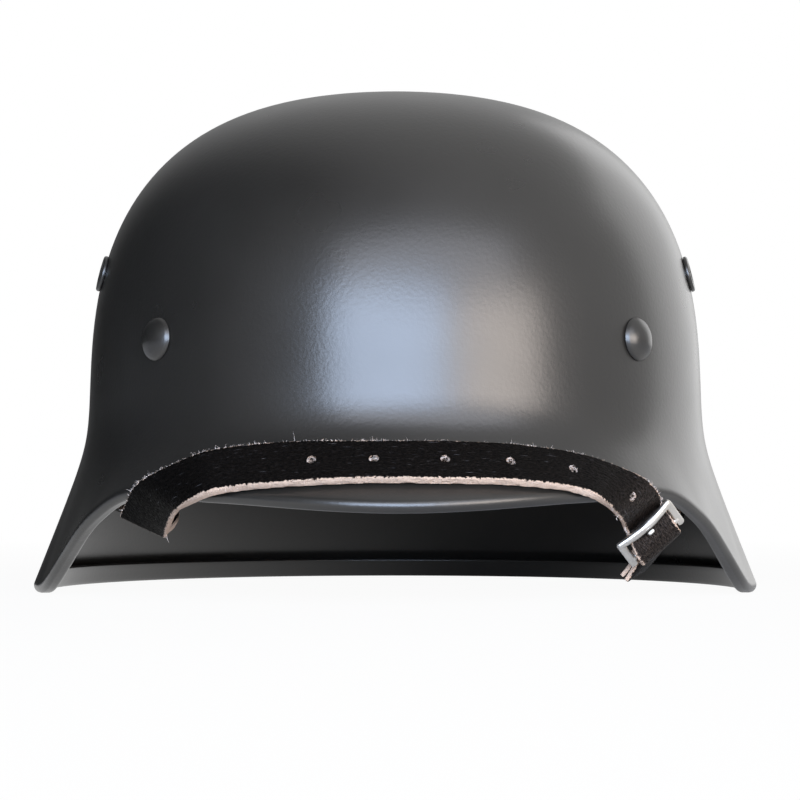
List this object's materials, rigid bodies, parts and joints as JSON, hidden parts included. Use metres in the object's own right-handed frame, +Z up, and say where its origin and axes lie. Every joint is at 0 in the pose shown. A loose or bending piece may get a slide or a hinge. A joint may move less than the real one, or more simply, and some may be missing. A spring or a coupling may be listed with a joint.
{
  "type": "pressed steel helmet",
  "caption": "Pressed steel helmet with a flared, rolled rim, a sprung two-band liner with leather fingers, and a buckled leather chin strap lying over the visor.",
  "frame": {"origin": "on the plane that the rim rests on, under the middle of the helmet's length and width", "axes": "+Z up towards the crown, -Y the front with the visor, +X to the right as seen from the front; left and right in the node names are as seen from the front"},
  "size_m": [0.2398, 0.2773, 0.1636],
  "materials": {
    "paint": "satin, with a fine orange-peel grain",
    "steel": "zinc-plated, dull",
    "aluminium": "tumbled satin",
    "black_leather": "smooth grain with a low sheen, raw pale edges",
    "tan_leather": "vegetable-tanned, matt",
    "felt": "pressed wool felt",
    "cord": "twisted cotton cord"
  },
  "bodies": {
    "shell": {"shell": "paint", "vent_bushing_left": "paint", "vent_bushing_right": "paint", "vent_washer_left": "steel", "vent_washer_right": "steel", "liner_pin_front_left": "paint", "liner_pin_front_right": "paint", "liner_pin_rear": "paint", "pin_washers": "steel", "outer_band": "aluminium", "inner_band": "aluminium", "leaf_springs": "steel", "spring_rivets": "steel", "felt_pad": "felt", "liner_leather": "tan_leather", "drawstring": "cord", "leather_rivets": "aluminium", "bale_bracket_left": "steel", "bale_bracket_right": "steel", "bracket_rivets": "steel", "strap_tail_left": "black_leather", "strap_tail_right": "black_leather"},
    "bale_left": {"bale_left": "steel", "strap_loop_left": "black_leather", "strap_stud_left": "aluminium"},
    "bale_right": {"bale_right": "steel", "strap_loop_right": "black_leather", "strap_stud_right": "aluminium"},
    "chinstrap": {"chinstrap_front": "black_leather", "buckle_loop": "black_leather"},
    "buckle_frame": {"buckle_frame": "aluminium"},
    "buckle_tongue": {"buckle_tongue": "aluminium"}
  },
  "joints": [
    {"name": "bale_left_hinge", "type": "hinge", "parent": "shell", "child": "bale_left", "pos_m": [-0.09137, -0.02998, 0.0608], "axis": [0.2242, -0.9745, 0], "range_deg": [-12, 25]},
    {"name": "bale_right_hinge", "type": "hinge", "parent": "shell", "child": "bale_right", "pos_m": [0.09137, -0.02998, 0.0608], "axis": [0.2242, 0.9745, 0], "range_deg": [-12, 25]},
    {"name": "chinstrap_slack", "type": "slide", "parent": "shell", "child": "chinstrap", "axis": [0, -0.6222, 0.7829], "range_m": [0, 0.004]},
    {"name": "buckle_frame_hinge", "type": "hinge", "parent": "chinstrap", "child": "buckle_frame", "pos_m": [0.07729, -0.09194, 0.019], "axis": [0.7451, 0.0071, 0.6669], "range_deg": [0, 8]},
    {"name": "buckle_tongue_hinge", "type": "hinge", "parent": "buckle_frame", "child": "buckle_tongue", "pos_m": [0.07729, -0.09194, 0.019], "axis": [0.7451, 0.0071, 0.6669], "range_deg": [0, 4]}
  ]
}
